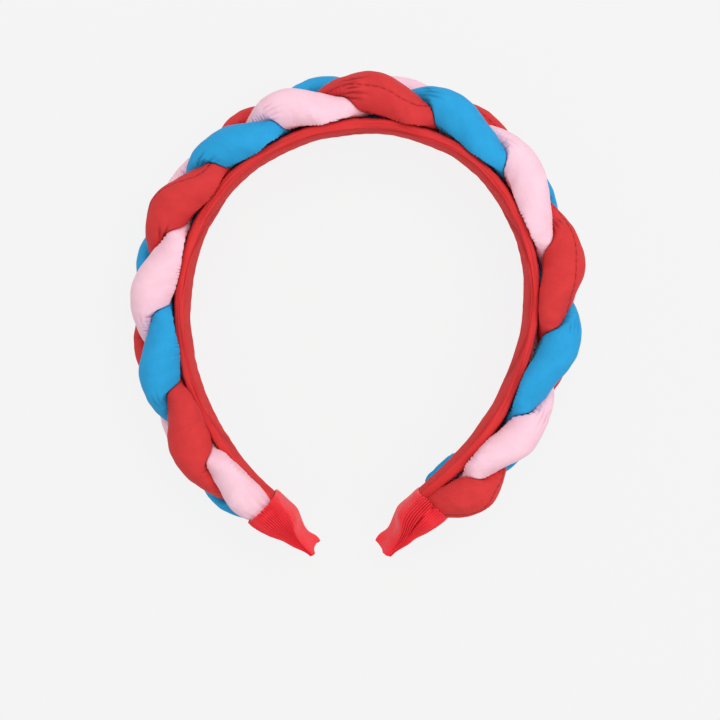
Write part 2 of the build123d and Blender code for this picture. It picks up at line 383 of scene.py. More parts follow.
def gridMesh(name, points, uv, attributes, mirror=None):
    # points[i, j] runs along i and closes round on itself along j; mirror is the sum of the
    # numbers of two points that face each other, and closes the last end straight across
    rows, columns = points.shape[:2]
    i, j = np.meshgrid(np.arange(rows - 1), np.arange(columns), indexing="ij")
    near, far, k = i * columns, (i + 1) * columns, (j + 1) % columns
    faces = np.stack([near + j, near + k, far + k, far + j], -1).reshape(-1, 4).tolist()
    corners = uv[i, j], uv[i, j + 1], uv[i + 1, j + 1], uv[i + 1, j]
    loopUv = np.stack(corners, axis=2).reshape(-1, 2)
    faces.append(list(range(columns))[::-1])
    lastEnd = [list(range(columns))]
    if mirror is not None:
        first = (mirror + columns) // 2
        lastEnd = [
            [n % columns, (n + 1) % columns, (mirror - n - 1) % columns, (mirror - n) % columns]
            for n in range(first - columns // 2, first)
        ]
        lastEnd = [sorted(set(face), key=face.index) for face in lastEnd]
    faces += [[(rows - 1) * columns + n for n in face] for face in lastEnd]
    loopUv = np.concatenate([loopUv, uv[0, :columns][::-1]] + [uv[-1, face] for face in lastEnd])
    mesh = bpy.data.meshes.new(name)
    mesh.from_pydata(points.reshape(-1, 3).tolist(), [], faces)
    layer = mesh.uv_layers.new(name="clothMap")
    layer.data.foreach_set("uv", loopUv.astype(np.float32).ravel())
    for label, values in attributes.items():
        kind, field = ("FLOAT_VECTOR", "vector") if values.ndim == 3 else ("FLOAT", "value")
        layer = mesh.attributes.new(label, kind, "POINT")
        layer.data.foreach_set(field, values.astype(np.float32).ravel())
    mesh.polygons.foreach_set("use_smooth", [True] * len(mesh.polygons))
    mesh.validate()
    return placeObject(name, mesh)


strandNames = ("pink", "red", "blue")
redStrand = strandNames.index("red")


def lobeValue(strand, turns, column):
    # a strand faces up at every third lobe, and lies at the back half way between
    table = np.array(braidShape["lobes"])
    last = len(table) - 1
    front = np.clip(np.round((turns - strand) / 3) * 3 + strand, 0, last).astype(int)
    back = np.clip(np.round((turns - strand - 1.5) / 3) * 3 + strand + 1, 0, last).astype(int)
    facingUp = np.cos(2 * np.pi * (turns - strand) / 3) > 0
    return np.where(facingUp, table[front, column], table[back, column + 1])


def lobeWeight(angle):
    return np.abs(np.cos(angle)) ** braidShape["sharpness"]


def strandMiddle(strand, along):
    turns = blend(turnRows, 1, along)
    angle = 2 * np.pi * (turns - strand) / 3
    size = blend(braidShape["gathers"], 1, fromMouths(along) / braidShape["radius"])
    rise = braidShape["radius"] * lobeValue(strand, turns, 1) * lobeWeight(angle)
    lift = braidShape["lift"] * np.sin(2 * angle + math.radians(braidShape["liftLead"]))
    lift = lift - braidShape["dip"] * np.cos(4 * angle)
    out = bandShape["thickness"] / 2 + size * (braidShape["seat"] - lift + rise)
    late = braidShape["lag"] + braidShape["lagOnce"] * np.sin(angle)
    late = late + braidShape["lagTwice"] * np.sin(2 * angle)
    across = size * braidShape["swing"] * np.cos(angle - np.radians(late))
    return out, across, angle, size


def bandPresses(along, out, across, toOut, toUp):
    # where a spoke meets the band's top; past the band's edge a lobe hangs down freely
    halfBand, cover = halfBandWidth(along), coverDepth(along)
    room = out - bandShape["thickness"] / 2 - cover - braidShape["gap"]
    down = np.maximum(room, braidShape["leastRoom"])
    meets = np.abs(across + down * toUp / np.maximum(-toOut, 0.02))
    blur = braidShape["edgeBlur"]
    hangs = [(place * braidLength, low) for place, low in braidShape["hangs"]]
    hang = blend(hangs, 1, along - leftMouth)
    onBand = -toOut / down * (1 - smoothStep(halfBand - blur, halfBand + blur, meets))
    return [onBand, -toOut / (down + cover + hang)]


def strandPresses(strand, along, out, across, toOut, toUp):
    presses = []
    for other in range(len(strandNames)):
        if other != strand:
            otherOut, otherAcross = strandMiddle(other, along)[:2]
            apart = np.hypot(otherOut - out, otherAcross - across)
            share = 0.5 + braidShape["overShare"] * np.tanh((out - otherOut) / braidShape["overReach"])
            facing = (toOut * (otherOut - out) + toUp * (otherAcross - across)) / apart
            presses.append(facing / (apart * share - braidShape["gap"] / 2))
    return presses


def wrapPress(along, out, across, toOut, toUp):
    # the hollow of a wrap holds the strands, in five directions
    depth = -fromMouths(along)
    place = np.clip(depth / wrapShape["length"], 0, 1)
    height, width, middle, corner = (blend(wrapShape["rows"], column, place) for column in (1, 2, 3, 4))
    hollowHeight = wrapShape["height"] * height - 2 * wrapShape["wall"]
    hollowWidth = wrapShape["width"] * width - 2 * wrapShape["wall"]
    middle = wrapShape["height"] * middle
    corner = wrapShape["height"] * height * corner - wrapShape["wall"]
    flare, power = wrapShape["flare"]
    hold = np.zeros(np.broadcast(out, toOut).shape)
    for degrees in (-90, -45, 0, 45, 90):
        aimOut, aimUp = math.cos(math.radians(degrees)), math.sin(math.radians(degrees))
        room = aimOut * (middle + hollowHeight / 2 - corner - out) + abs(aimUp) * (hollowWidth / 2 - corner)
        room = room - aimUp * across + corner - braidShape["gap"] + flare * np.maximum(-depth, 0) ** power
        hold = np.maximum(hold, (toOut * aimOut + toUp * aimUp) / room)
    return np.where(depth > -wrapShape["flareReach"], hold, 0)


def strandSurface(strand, along, spoke):
    # a strand's middle, its reach from there along each spoke, and how hard it is pressed there
    out, across, angle, size = strandMiddle(strand, along)
    power = braidShape["softness"]
    full = 1 + lobeValue(strand, blend(turnRows, 1, along), 3) * lobeWeight(angle)
    radius = size * full * braidShape["radius"]
    halfAcross = radius * (1 + braidShape["spread"] * np.sin(angle) ** 2)
    halfHeight = radius * (1 - braidShape["squash"] * np.sin(angle) ** 2)
    lean = braidShape["lobeLean"] * np.cos(angle) + braidShape["crossingLean"] * np.sin(2 * angle)
    turned = spoke - np.radians(lean)
    halfHeight = halfHeight * (1 + braidShape["belly"] * (1 - np.cos(turned)) / 2)
    tightness = np.hypot(np.cos(turned) / halfHeight, np.sin(turned) / halfAcross) ** power
    spot = along, out, across, np.cos(spoke), np.sin(spoke)
    pressed = np.zeros_like(tightness)
    for press in bandPresses(*spot) + strandPresses(strand, *spot) + [wrapPress(*spot)]:
        press = np.maximum(press, 0)
        tightness = tightness + press**power
        pressed = np.maximum(pressed, press)
    reach = tightness ** (-1 / power)
    return out, across, reach, pressed * reach


puckers = {
    # for the pink, the red and the blue strand: depth of the short puckers where a strand is pressed and
    # how much shade is painted into them, and depth of the gathers where it goes into a wrap
    "ticks": (0.42, 0.20, 0.26),
    "tickShade": (0.65, 0.45, 0.5),
    "mouth": (0.28, 0.05, 0.28),
    "mouthReach": 7.0,
    "mouthStretch": 0.08,  # the gathers change this much slower along the strand
    "tickSpacing": 1.9,
    "tickDrift": 1.6,
    "tickEdge": (0.55, 0.93),  # share of full pressure at which the puckers start, and are full
    "tickEase": (0.5, 0.996),  # how much less of them there is where it is full, and from where
    "slow": 0.13,  # depth of the slow and of the fine unevenness
    "fine": 0.05,
    "darkest": 0.42,  # depth at which the shade painted in a crease is darkest
    # seed, wavelengths along the strand, number of waves, most waves round it
    "waves": {
        "drift": (4, (5, 14), 7, 2),
        "slow": (5, (14, 40), 8, 3),
        "fine": (6, (4, 11), 10, 6),
        "patches": (8, (25, 60), 5, 2),
        "spots": (9, (6, 17), 7, 2),
        "gathers": (10, (3, 9), 9, 21),
    },
    # where a strand comes out from under another: strand, share of the braid's length, angle
    # round, folds, angle between them, length, depth
    "fans": [
        (1, 0.490, 84, 5, 13, 7.0, 0.55),
        (2, 0.552, 74, 5, 12, 6.5, 0.50),
        (0, 0.627, 88, 4, 12, 5.0, 0.35),
        (1, 0.704, 86, 3, 13, 4.5, 0.45),
        (2, 0.350, 98, 5, 12, 6.0, 0.50),
        (1, 0.283, 99, 2, 16, 4.0, 0.50),
        (0, 0.205, 94, 4, 14, 6.0, 0.35),
        (2, 0.135, 88, 4, 13, 5.0, 0.30),
        (0, 0.870, 68, 4, 14, 6.0, 0.40),
        (2, 0.790, 66, 3, 13, 5.0, 0.25),
        (0, 0.420, 92, 4, 13, 5.0, 0.35),
        (1, 0.930, 80, 4, 13, 5.0, 0.35),
    ],
    "foldWidth": (0.42, 0.05),  # at its middle, and more for each millimetre from there
    "foldLips": (0.35, 1.7),  # raised beside it: share of the depth, distance in widths
    "foldShift": 0.8,  # how unevenly the folds of a fan start
    "foldSplay": 0.05,
    "foldFade": 2.2,
}

seam = {
    # share of the braid's length, angle round the red strand
    "line": [
        (0.000, 60), (0.060, -20), (0.150, -60), (0.250, 0), (0.325, 38), (0.340, 54), (0.355, 66),
        (0.420, 60), (0.470, 72), (0.505, 77), (0.525, 75), (0.545, 62), (0.565, 52), (0.620, 50),
        (0.692, 47), (0.705, 51), (0.720, 57), (0.735, 62), (0.750, 58), (0.765, 40), (0.775, 22),
        (0.850, 0), (0.945, 60), (0.957, 50), (0.970, 37), (0.984, 38), (1.000, 57),
    ],
    "groove": 0.30,
    "halfWidth": 0.45,
    "lips": (0.35, 1.3, 0.7),  # raised beside it: share of the depth, distance, width
    "plain": 0.7,  # how much of the painted crease shade the groove itself goes without
    "pitch": 3.0,
    "stitch": 2.3,
    "thread": 0.17,
    "unevenness": 0.15,
    "above": 0.4,  # share of the thread's radius by which it stands on the cloth
    "margin": 1.5,  # free of stitches beside each wrap
}


def seamAngle(along):
    return np.radians(blend(seam["line"], 1, (along - leftMouth) / braidLength))


def clothWaves(kind, strand, path, spoke):
    seed, *waves = puckers["waves"][kind]
    return wavyField(10 * strand + seed, path, spoke, *waves)


def pressedTicks(strand, along, path, spoke, pressed):
    # short puckers in patches along the borders where a strand is pressed
    easeShare, easeFrom = puckers["tickEase"]
    edge = smoothStep(*puckers["tickEdge"], pressed) * (1 - easeShare * smoothStep(easeFrom, 1.0, pressed))
    patch = smoothStep(-0.5, 1.0, clothWaves("patches", strand, path, spoke))
    patch = (0.25 + patch) * (0.35 + smoothStep(-0.6, 1.2, clothWaves("spots", strand, path, spoke)))
    drift = puckers["tickDrift"] * clothWaves("drift", strand, path, spoke)
    phase = 2 * np.pi * path / puckers["tickSpacing"] + drift
    ticks = puckers["ticks"][strand] * edge * patch * smoothStep(0.0, 1.0, np.sin(phase))
    return ticks * smoothStep(puckers["mouthReach"], 2.5 * puckers["mouthReach"], fromMouths(along))


def fannedFolds(strand, along, path, spoke, radius):
    folds = np.zeros(np.broadcast(path, spoke).shape)
    narrow, wider = puckers["foldWidth"]
    lipShare, lipAway = puckers["foldLips"]
    for owner, share, degrees, count, step, length, depth in puckers["fans"]:
        if owner != strand:
            continue
        start = np.interp(leftMouth + share * braidLength, along[:, 0], path[:, 0])
        for n in range(count):
            fromMiddle = n - (count - 1) / 2
            ahead = path - start - puckers["foldShift"] * math.sin(2.1 * n + degrees)
            splay = puckers["foldSplay"] * ahead * fromMiddle / count
            bent = math.radians(degrees + fromMiddle * step) + splay
            aside = nearest(spoke - bent) * radius
            reach = length * (0.75 + 0.25 * math.cos(1.7 * n + share * 40))
            window = np.exp(-((ahead / reach) ** 2) * puckers["foldFade"])
            width = narrow + wider * np.abs(ahead)
            lips = bell((np.abs(aside) - lipAway * width) / width)
            folds = folds + depth * window * (bell(aside / width) - lipShare * lips)
    return folds


def surfaceDetail(strand, along, path, spoke, radius, pressed):
    # how far the cloth sinks in folds and puckers, in millimetres, and how much shade is painted in the
    # creases
    ticks = pressedTicks(strand, along, path, spoke, pressed)
    slow = puckers["slow"] * clothWaves("slow", strand, path, spoke)
    fine = puckers["fine"] * clothWaves("fine", strand, path, spoke)
    folds = fannedFolds(strand, along, path, spoke, radius)
    gather = np.exp(-np.maximum(fromMouths(along), 0) / puckers["mouthReach"] * 2)
    gathered = smoothStep(-0.2, 1.3, clothWaves("gathers", strand, path * puckers["mouthStretch"], spoke))
    folds = folds + puckers["mouth"][strand] * gather * gathered
    near = 0.0
    if strand == redStrand:
        lipShare, lipAway, lipWidth = seam["lips"]
        aside = nearest(spoke - seamAngle(along)) * radius
        near = bell(aside / seam["halfWidth"])
        folds = folds + seam["groove"] * (near - lipShare * bell((np.abs(aside) - lipAway) / lipWidth))
    # shade is painted into the puckers, folds and gathers, and less into the seam's own groove
    shade = puckers["tickShade"][strand] * ticks + np.maximum(folds, 0)
    paintedShade = np.clip(shade / puckers["darkest"], 0, 1) * (1 - seam["plain"] * near)
    return ticks + folds - slow - fine, paintedShade


def clothSurface(strand, along, spoke, above=0.0):
    # points of a strand's cloth, the length of its middle line up to them, and the shade painted in its
    # creases
    out, across, reach, pressed = strandSurface(strand, along, spoke)
    line = fromBand(along, out, across)[:, 0, :]
    lengths = np.linalg.norm(np.diff(line, axis=0), axis=1)
    path = np.concatenate([[0], np.cumsum(lengths)])[:, None] / millimetre
    sunk, paintedShade = surfaceDetail(strand, along, path, spoke, reach, pressed)
    reach = reach - sunk + above
    outward, upward = out + reach * np.cos(spoke), across + reach * np.sin(spoke)
    if strand == braidShape["sagging"]:
        fromMouth = rightMouth - along
        depth = blend(braidShape["sags"], 1, fromMouth) * smoothStep(*braidShape["sagFade"], fromMouth)
        near, far = braidShape["sagEdge"]
        halfBand = halfBandWidth(along)
        beyond = smoothStep(halfBand + near, halfBand + far, -upward)
        outward = outward - depth * beyond * smoothStep(*braidShape["sagSide"], -np.cos(spoke))
    return fromBand(along, outward, upward), path, paintedShade


def makeStrand(strand):
    along, spoke = ringsAlong(braidShape)
    points, path, paintedShade = clothSurface(strand, along, spoke)
    points[..., 2] = np.maximum(points[..., 2], 0.0)
    uv = roundMap(path, spoke, braidShape["radius"])
    # the shade painted in the creases goes to the material as an attribute
    return gridMesh("strand_cover_" + strandNames[strand], points, uv, {"paintedShade": paintedShade})


def makeBand():
    along, spoke = ringsAlong(bandShape)
    aim = spoke + bandShape["crowding"] * np.sin(2 * spoke)
    out = bandShape["thickness"] / 2 * rounded(np.cos(aim), bandShape["faceRound"])
    edgewise = rounded(np.sin(aim), bandShape["edgeRound"])
    across = edgewise * halfBandWidth(along)
    out = out + coverDepth(along) * smoothStep(-0.1, 0.5, np.cos(aim)) * (1 - 0.5 * edgewise**4)
    # kinks, waves, long creases and slanting folds
    seed, (wanderReach, *wanderWaves) = bandShape["seed"], bandShape["wander"]
    draw = np.random.RandomState(seed)
    step, spread, margin = bandShape["kinkStep"], bandShape["kinkSpread"], bandShape["margin"]
    marks = np.arange(along[0, 0] - margin, along[-1, 0] + margin, step)
    marks = marks + draw.uniform(-spread, spread, len(marks))
    kinks = np.interp(along, marks, draw.uniform(-1, 1, len(marks))) * bandShape["kink"]
    wave = np.zeros_like(out)
    for number, (depth, *waves) in enumerate(bandShape["waves"]):
        wave = wave + wavyField(seed + 1 + number, along, spoke, *waves) * depth
    sunk = np.zeros_like(out)
    for number, (degrees, depth, width) in enumerate(bandShape["creases"]):
        wander = wanderReach * wavyField(seed + 10 + number, along, np.zeros(1), *wanderWaves)
        fade = smoothStep(-0.6, 0.8, wavyField(seed + 20 + number, along, np.zeros(1), *bandShape["fade"]))
        fade = fade * smoothStep(*bandShape["creaseEnds"], fromMouths(along))
        aside = nearest(np.degrees(spoke) - degrees - wander, 360) / width
        sunk = sunk + depth * fade * bell(aside)
    lipShare, lipAway = bandShape["slantLip"]
    for share, reach, first, last, depth, width in bandShape["slants"]:
        ahead = (along - share * bandLength) / reach + 0.5
        middle = first + (last - first) * smoothStep(0, 1, ahead)
        aside = nearest(np.degrees(spoke) - middle, 360) / width
        fade = smoothStep(-0.1, 0.25, ahead) * (1 - smoothStep(0.75, 1.1, ahead))
        sunk = sunk + depth * fade * (bell(aside) - lipShare * bell(aside - lipAway))
    length = np.hypot(np.cos(aim), np.sin(aim) * 0.35)
    out = out + kinks + (wave - sunk) * np.cos(aim) / length
    across = across - sunk * np.sin(aim) * 0.6
    # shade is painted into the satin's creases and slanting folds, darkest where they sink deepest
    paintedShade = np.clip(sunk / bandShape["darkest"], 0, 1)
    uv = roundMap(along, spoke, bandShape["mapRadius"])
    return gridMesh("band_cover", fromBand(along, out, across), uv, {"paintedShade": paintedShade})


def feed(tree, node, inputs):
    # each input gets a value, or the socket that feeds it
    for name, value in inputs.items():
        if isinstance(value, bpy.types.NodeSocket):
            tree.links.new(value, node.inputs[name])
        else:
            node.inputs[name].default_value = value


def nodeIn(tree, kind, inputs=None, **settings):
    # nodes stand in rows of eight, in the order in which they are made
    node = tree.nodes.new(kind)
    made = len(tree.nodes) - 1
    node.location = (200 * (made % 8), -350 * (made // 8))
    for name, value in settings.items():
        setattr(node, name, value)
    feed(tree, node, inputs or {})
    return node


def mathIn(tree, operation, *values, **settings):
    inputs = dict(enumerate(values))
    return nodeIn(tree, "ShaderNodeMath", inputs, operation=operation, **settings).outputs[0]


def groupWith(name, kind, inputs, outputs):
    # a node tree with its entry and exit, and the named sockets given
    tree = bpy.data.node_groups.new(name, kind)
    for way, sockets in (("INPUT", inputs), ("OUTPUT", outputs)):
        for label, socket in sockets.items():
            tree.interface.new_socket(name=label, in_out=way, socket_type="NodeSocket" + socket)
    return tree, nodeIn(tree, "NodeGroupInput"), nodeIn(tree, "NodeGroupOutput")


def finishTree(tree, given, leave, geometry):
    realize = nodeIn(tree, "GeometryNodeRealizeInstances", {"Geometry": geometry})
    paint = nodeIn(tree, "GeometryNodeSetMaterial", {
        "Geometry": realize.outputs["Geometry"], "Material": given["Material"],
    })
    feed(tree, leave, {"Geometry": paint.outputs["Geometry"]})


def applyTree(piece, tree, values):
    # runs the tree on the piece and keeps the result as its plain mesh
    modifier = piece.modifiers.new(tree.name, "NODES")
    modifier.node_group = tree
    sockets = {item.name: item.identifier for item in tree.interface.items_tree if item.in_out == "INPUT"}
    for name, value in values.items():
        modifier[sockets[name]] = value
    evaluated = piece.evaluated_get(bpy.context.evaluated_depsgraph_get())
    mesh = bpy.data.meshes.new_from_object(evaluated)
    piece.modifiers.remove(modifier)
    piece.data = mesh
    mesh.polygons.foreach_set("use_smooth", [True] * len(mesh.polygons))
    return piece


def makeStitchTree():
    # running stitches along a line
    tree, entry, leave = groupWith("running stitches", "GeometryNodeTree", {
        "Geometry": "Geometry", "Stitch Pitch": "Float", "Stitch Length": "Float",
        "Thread Radius": "Float", "Unevenness": "Float", "Seed": "Int", "Material": "Material",
    }, {"Geometry": "Geometry"})
    given = entry.outputs
    line = nodeIn(tree, "GeometryNodeMeshToCurve", {"Mesh": given["Geometry"]})
    even = nodeIn(tree, "GeometryNodeResampleCurve", {
        "Curve": line.outputs["Curve"], "Length": given["Stitch Pitch"],
    }, mode="LENGTH")
    tangent = nodeIn(tree, "GeometryNodeInputTangent")
    along = {"Vector": tangent.outputs["Tangent"]}
    turn = nodeIn(tree, "FunctionNodeAlignRotationToVector", along, axis="Z")
    stitch = nodeIn(tree, "GeometryNodeMeshUVSphere", {"Segments": 8, "Rings": 6, "Radius": 1.0})
    vary = nodeIn(tree, "FunctionNodeRandomValue", {
        2: mathIn(tree, "SUBTRACT", 1.0, given["Unevenness"]),
        3: mathIn(tree, "ADD", 1.0, given["Unevenness"]), "Seed": given["Seed"],
    }, data_type="FLOAT")
    half = mathIn(tree, "MULTIPLY", given["Stitch Length"], 0.5)
    scale = nodeIn(tree, "ShaderNodeCombineXYZ", {
        "X": given["Thread Radius"], "Y": given["Thread Radius"],
        "Z": mathIn(tree, "MULTIPLY", half, vary.outputs[1]),
    })
    place = nodeIn(tree, "GeometryNodeInstanceOnPoints", {
        "Points": even.outputs["Curve"], "Instance": stitch.outputs["Mesh"],
        "Rotation": turn.outputs["Rotation"], "Scale": scale.outputs["Vector"],
    })
    finishTree(tree, given, leave, place.outputs["Instances"])
    return tree


def makeRibTree():
    # ribs round a wrap, cut in against its outward direction; the depth of the grooves and of the lap's gap
    # is kept as an attribute, for the shade painted into them
    tree, entry, leave = groupWith("ribbon ribs", "GeometryNodeTree", {
        "Geometry": "Geometry", "Rib Count": "Float", "Rib Height": "Float", "Rib Softness": "Float",
        "Material": "Material",
    }, {"Geometry": "Geometry"})
    given = entry.outputs
    kinds = {"aroundShare": "FLOAT", "ribShare": "FLOAT", "outward": "FLOAT_VECTOR", "lapGap": "FLOAT"}
    stored = {}
    for label, kind in kinds.items():
        node = nodeIn(tree, "GeometryNodeInputNamedAttribute", {"Name": label}, data_type=kind)
        stored[label] = node.outputs["Attribute"]
    phase = mathIn(tree, "MULTIPLY", stored["aroundShare"], given["Rib Count"])
    halfTurns = mathIn(tree, "MULTIPLY", phase, math.pi)
    wave = mathIn(tree, "ABSOLUTE", mathIn(tree, "SINE", halfTurns))
    rib = mathIn(tree, "POWER", wave, given["Rib Softness"])
    hollow = mathIn(tree, "SUBTRACT", 1.0, rib)
    sunk = mathIn(tree, "MULTIPLY", hollow, stored["ribShare"])
    # painted shade: how deep each point lies in a groove or in the lap's gap
    keep = nodeIn(tree, "GeometryNodeStoreNamedAttribute", {
        "Geometry": given["Geometry"], "Name": "groove",
        "Value": mathIn(tree, "MAXIMUM", sunk, stored["lapGap"]),
    }, data_type="FLOAT", domain="POINT")
    depth = mathIn(tree, "MULTIPLY", sunk, given["Rib Height"])
    move = nodeIn(tree, "ShaderNodeVectorMath", {
        0: stored["outward"], "Scale": mathIn(tree, "MULTIPLY", depth, -1.0),
    }, operation="SCALE")
    shift = nodeIn(tree, "GeometryNodeSetPosition", {
        "Geometry": keep.outputs["Geometry"], "Offset": move.outputs["Vector"],
    })
    finishTree(tree, given, leave, shift.outputs["Geometry"])
    return tree


def wrapSection(turned, place, less, tipTwist):
    # out and across of a wrap's skin, flattened and twisted towards the tip
    rows = wrapShape["rows"]
    halfHeight = wrapShape["height"] * blend(rows, 1, place) / 2 - less
    halfWidth = wrapShape["width"] * blend(rows, 2, place) / 2 - less
    middle = wrapShape["height"] * blend(rows, 3, place)
    twist = np.radians(tipTwist * blend(rows, 5, place))
    x = halfHeight * rounded(np.cos(turned), wrapShape["cornerRound"])
    y = halfWidth * rounded(np.sin(turned), wrapShape["cornerRound"])
    # the two flat faces sink in between thick rims near the tip
    sink = wrapShape["tipSink"] * smoothStep(wrapShape["tipFrom"], 1.0, place)
    x = x * (1 - sink * (1 - np.clip(np.abs(y) / halfWidth, 0, 1) ** 2.5))
    return middle + x * np.cos(twist) + y * np.sin(twist), y * np.cos(twist) - x * np.sin(twist)


def evenTurns(count, steps=20000):
    # angles that divide the mouth's edge evenly
    fine = np.linspace(0, 2 * np.pi, steps + 1)
    out, across = wrapSection(fine, np.zeros(1), 0.0, 0.0)
    length = np.concatenate([[0], np.cumsum(np.hypot(np.diff(out), np.diff(across)))])
    return np.interp(np.arange(count) / count * length[-1], length, fine)


def makeWrap(side, ribTree, ribbon):
    mouth, way = {"left": (leftMouth, -1), "right": (rightMouth, 1)}[side]
    tipTwist, ribs, full = wrapShape[side + "Twist"], wrapShape["ribs"], wrapShape["length"]
    samples = ribs * wrapShape["samplesPerRib"]
    turned = evenTurns(samples)[None, :]
    share = (np.arange(samples) / samples)[None, :]
    place = np.linspace(0, 1, wrapShape["places"])[:, None]
    inner = np.linspace(wrapShape["hollowTo"], 0, wrapShape["insidePlaces"])[:, None]
    depth, seed, *waves = wrapShape["ribDrift"]
    lean = place * wrapShape["driftLean"]
    uneven = wavyField(seed, share * wrapShape["girth"], lean, *waves) * depth / ribs
    away = np.minimum(turned, 2 * np.pi - turned)
    ribEdge = np.radians(blend(wrapShape[side + "RibEdge"], 1, place))
    plain = smoothStep(ribEdge, ribEdge + wrapShape["plainStep"], away)
    crowded = 1 - wrapShape["tipRibs"] * smoothStep(wrapShape["tipFrom"], 1.0, place)
    ribShare = (1 - wrapShape["plainShare"] * plain) * smoothStep(*wrapShape["ribStart"], place) * crowded
    depth, seed, *waves = wrapShape["bulge"]
    raised = depth * wavyField(seed, place * full, turned, *waves)
    innerSide = smoothStep(*wrapShape[side + "Inner"], away)
    lapGap, thin = np.zeros_like(raised), 0.0
    if side == "right":
        # the lap's step, its hem and the groove before it
        edge = blend(wrapShape["lapEdge"], 1, place)
        hemHeight, hemBehind, hemWidth = wrapShape["lapHem"]
        grooveDepth, grooveBefore, grooveWidth = wrapShape["lapGroove"]
        (stepFoot, stepTop), (slopeTop, slopeFoot) = wrapShape["lapStep"], wrapShape["lapSlope"]
        over = smoothStep(edge + stepFoot, edge + stepTop, share)
        slope = 1 - smoothStep(edge + slopeTop, edge + slopeFoot, share)
        raised = raised + wrapShape["lapHeight"] * over * slope
        raised = raised + hemHeight * bell((share - edge - hemBehind) / hemWidth)
        lapGap = bell((share - edge + grooveBefore) / grooveWidth)
        raised = raised - grooveDepth * lapGap
        underShare, overShare = wrapShape["lapRibs"]
        ribShare = ribShare * (underShare + overShare * over)
        thin = wrapShape["innerThin"] * innerSide * fadeOut(wrapShape["thinReach"], place)
        lip = -wrapShape["innerShort"] * innerSide
    else:
        # a soft crest where the ribbed face turns over to the smooth one
        height, past, width = wrapShape["crest"]
        crest = height * bell((turned - ribEdge - past) / width)
        raised = raised + crest * smoothStep(*wrapShape["crestRise"], place)
        lip = wrapShape["innerLip"] * innerSide - wrapShape["leftShort"]
    raised = raised * smoothStep(*wrapShape["mouthRise"], place) - thin

    out, across = wrapSection(turned, place, 0.0, tipTwist)
    stepOut = np.roll(out, -2, 1) - np.roll(out, 2, 1)
    stepAcross = np.roll(across, -2, 1) - np.roll(across, 2, 1)
    length = np.hypot(stepOut, stepAcross) + 1e-9
    normalOut, normalAcross = stepAcross / length, -stepOut / length
    out, across = out + raised * normalOut, across + raised * normalAcross

    # the mouth's scallops and the tip's notch, as a reach along the band
    power, level = wrapShape["scallopShape"]
    outsideReach, insideReach = wrapShape["scallopReach"]
    nick, nickReach = wrapShape["lapNick"]
    spacing = share + wrapShape["scallopDrift"] * uneven
    arcs = np.abs(np.sin(np.pi * wrapShape["scallops"] * spacing)) ** power
    scallop = wrapShape["scallop"] * (arcs - level) * (1 - plain) * fadeOut(outsideReach, place)
    scallop = scallop - nick * lapGap * fadeOut(nickReach, place)
    scallop = scallop + lip * fadeOut(wrapShape["lipReach"], place)
    notch = wrapShape[side + "Notch"] * (1 - np.abs(np.sin(turned)) ** 2)
    notch = notch * smoothStep(wrapShape["notchFrom"], 1.0, place)
    longer = wrapShape["tipLean"] * np.sin(turned) * smoothStep(wrapShape["leanFrom"], 1.0, place)
    reach = mouth + way * (place * full - scallop - notch + longer)
    hollowAlong = mouth + way * (inner * full - scallop[0] * fadeOut(insideReach, inner))
    inside = fromBand(hollowAlong, *wrapSection(turned, inner, wrapShape["wall"], tipTwist))
    points = np.concatenate([inside, fromBand(reach, out, across)])
    heading = np.interp(reach, bandWalk[:, 0], bandWalk[:, 3])
    outward = np.stack([-np.sin(heading) * normalOut, np.cos(heading) * normalOut, normalAcross], -1)
    # ribShare and lapGap also set how much shade is painted into the grooves and the lap's gap
    fields = {"aroundShare": share + uneven, "ribShare": ribShare, "lapGap": lapGap, "outward": outward}
    attributes = {
        name: np.concatenate([np.zeros((len(inner), *values.shape[1:])), values])
        for name, values in fields.items()
    }
    mirror = samples // 2
    if side == "left":
        # it runs the other way along the band, so its points go round the other way
        points = points[:, ::-1]
        attributes = {name: values[:, ::-1] for name, values in attributes.items()}
        mirror = mirror - 2
    lengthwise = np.arange(len(points))[:, None] * full / wrapShape["places"]
    uv = clothMap(lengthwise, np.linspace(0, wrapShape["girth"], samples + 1)[None, :])
    wrap = gridMesh("ribbon_wrap_" + side, points, uv, attributes, mirror)
    return applyTree(wrap, ribTree, {
        "Rib Count": float(ribs), "Rib Height": wrapShape["ribHeight"] * millimetre,
        "Rib Softness": wrapShape["ribSoftness"], "Material": ribbon,
    })


def makeSeam(thread):
    # running stitches on the line of the seam, on the red strand's cloth
    along = ringsAlong(braidShape)[0]
    points = clothSurface(redStrand, along, seamAngle(along), seam["thread"] * seam["above"])[0]
    points = points[fromMouths(along[:, 0]) > seam["margin"], 0, :]
    mesh = bpy.data.meshes.new("seam_stitches")
    mesh.from_pydata(points.tolist(), [(n, n + 1) for n in range(len(points) - 1)], [])
    return applyTree(placeObject("seam_stitches", mesh), makeStitchTree(), {
        "Stitch Pitch": seam["pitch"] * millimetre, "Stitch Length": seam["stitch"] * millimetre,
        "Thread Radius": seam["thread"] * millimetre, "Unevenness": seam["unevenness"], "Seed": 5,
        "Material": thread,
    })


